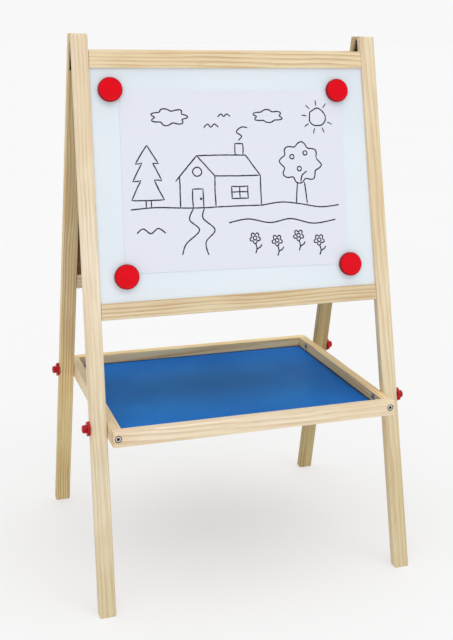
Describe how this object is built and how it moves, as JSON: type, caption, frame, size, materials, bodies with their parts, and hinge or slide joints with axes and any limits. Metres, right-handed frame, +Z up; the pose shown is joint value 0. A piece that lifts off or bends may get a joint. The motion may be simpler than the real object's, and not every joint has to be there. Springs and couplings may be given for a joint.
{
  "type": "kids easel",
  "caption": "Folding double-sided kids' easel in pale pine: whiteboard in front, chalkboard behind, a blue-floored tray between the legs, red knobs and magnets.",
  "frame": {"origin": "on the floor, midway between the front and rear feet and between the left and right legs", "axes": "+Z up, -Y out of the whiteboard towards the child, +X to the right as seen from the whiteboard side"},
  "size_m": [0.627, 0.4884, 1.0018],
  "materials": {
    "pine_leg": "clear matt lacquer",
    "pine_rail": "clear matt lacquer",
    "pine_tray": "clear matt lacquer",
    "whiteboard": "gloss white laminate",
    "chalkboard": "matt chalkboard paint",
    "blue_panel": "satin blue lacquer",
    "paper": "uncoated",
    "magnet_red": "gloss",
    "ferrite": "matt",
    "knob_red": "satin",
    "steel": "zinc plated",
    "black_steel": "black oxide",
    "black_nylon": "matt"
  },
  "bodies": {
    "front_frame": {"front_leg_left": "pine_leg", "front_leg_right": "pine_leg", "front_top_rail": "pine_rail", "front_bottom_rail": "pine_rail", "whiteboard": "whiteboard", "hinge_block_left": "black_nylon", "hinge_block_right": "black_nylon", "hinge_pin_left": "black_steel", "hinge_pin_right": "black_steel", "block_screw_left_1": "black_steel", "block_screw_left_2": "black_steel", "block_screw_right_1": "black_steel", "block_screw_right_2": "black_steel"},
    "rear_frame": {"rear_leg_left": "pine_leg", "rear_leg_right": "pine_leg", "rear_top_rail": "pine_rail", "rear_bottom_rail": "pine_rail", "chalkboard": "chalkboard", "hinge_leaf_left": "black_nylon", "hinge_leaf_right": "black_nylon", "leaf_screw_left_1": "black_steel", "leaf_screw_left_2": "black_steel", "leaf_screw_right_1": "black_steel", "leaf_screw_right_2": "black_steel"},
    "tray": {"tray_front_rail": "pine_tray", "tray_back_rail": "pine_tray", "tray_left_rail": "pine_tray", "tray_right_rail": "pine_tray", "tray_panel": "blue_panel", "tray_screw_front_left": "steel", "tray_screw_front_right": "steel", "tray_screw_rear_left": "steel", "tray_screw_rear_right": "steel", "tray_insert_front_left": "steel", "tray_insert_front_right": "steel", "tray_insert_rear_left": "steel", "tray_insert_rear_right": "steel"},
    "paper": {"paper_sheet": "paper"},
    "knob_front_left": {"knob_front_left": "knob_red", "knob_stud_front_left": "steel"},
    "knob_front_right": {"knob_front_right": "knob_red", "knob_stud_front_right": "steel"},
    "knob_rear_left": {"knob_rear_left": "knob_red", "knob_stud_rear_left": "steel"},
    "knob_rear_right": {"knob_rear_right": "knob_red", "knob_stud_rear_right": "steel"},
    "magnet_top_left": {"magnet_cap_top_left": "magnet_red", "magnet_disc_top_left": "ferrite"},
    "magnet_top_right": {"magnet_cap_top_right": "magnet_red", "magnet_disc_top_right": "ferrite"},
    "magnet_bottom_left": {"magnet_cap_bottom_left": "magnet_red", "magnet_disc_bottom_left": "ferrite"},
    "magnet_bottom_right": {"magnet_cap_bottom_right": "magnet_red", "magnet_disc_bottom_right": "ferrite"}
  },
  "joints": [
    {"name": "frame_fold", "type": "hinge", "parent": "front_frame", "child": "rear_frame", "pos_m": [0, 0, 0.98239], "axis": [-1, 0, 0], "range_deg": [0, 25.2]},
    {"name": "tray_swing", "type": "hinge", "parent": "front_frame", "child": "tray", "pos_m": [0, -0.16535, 0.316], "axis": [-1, 0, 0], "range_deg": [0, 52]},
    {"name": "knob_front_left_turn", "type": "hinge", "parent": "front_frame", "child": "knob_front_left", "pos_m": [-0.3, -0.16535, 0.316], "axis": [-1, 0, 0], "continuous": true},
    {"name": "knob_front_right_turn", "type": "hinge", "parent": "front_frame", "child": "knob_front_right", "pos_m": [0.3, -0.16535, 0.316], "axis": [1, 0, 0], "continuous": true},
    {"name": "knob_rear_left_turn", "type": "hinge", "parent": "rear_frame", "child": "knob_rear_left", "pos_m": [-0.3, 0.16535, 0.316], "axis": [-1, 0, 0], "continuous": true},
    {"name": "knob_rear_right_turn", "type": "hinge", "parent": "rear_frame", "child": "knob_rear_right", "pos_m": [0.3, 0.16535, 0.316], "axis": [1, 0, 0], "continuous": true},
    {"name": "paper_lift", "type": "slide", "parent": "front_frame", "child": "paper", "axis": [0, -0.9759, 0.2181], "range_m": [0, 0.05]},
    {"name": "magnet_top_left_lift", "type": "slide", "parent": "paper", "child": "magnet_top_left", "axis": [0, -0.9759, 0.2181], "range_m": [0, 0.04]},
    {"name": "magnet_top_right_lift", "type": "slide", "parent": "paper", "child": "magnet_top_right", "axis": [0, -0.9759, 0.2181], "range_m": [0, 0.04]},
    {"name": "magnet_bottom_left_lift", "type": "slide", "parent": "paper", "child": "magnet_bottom_left", "axis": [0, -0.9759, 0.2181], "range_m": [0, 0.04]},
    {"name": "magnet_bottom_right_lift", "type": "slide", "parent": "paper", "child": "magnet_bottom_right", "axis": [0, -0.9759, 0.2181], "range_m": [0, 0.04]}
  ],
  "couplings": [
    {"joint": "tray_swing", "follows": "frame_fold", "ratio": 2.06}
  ]
}
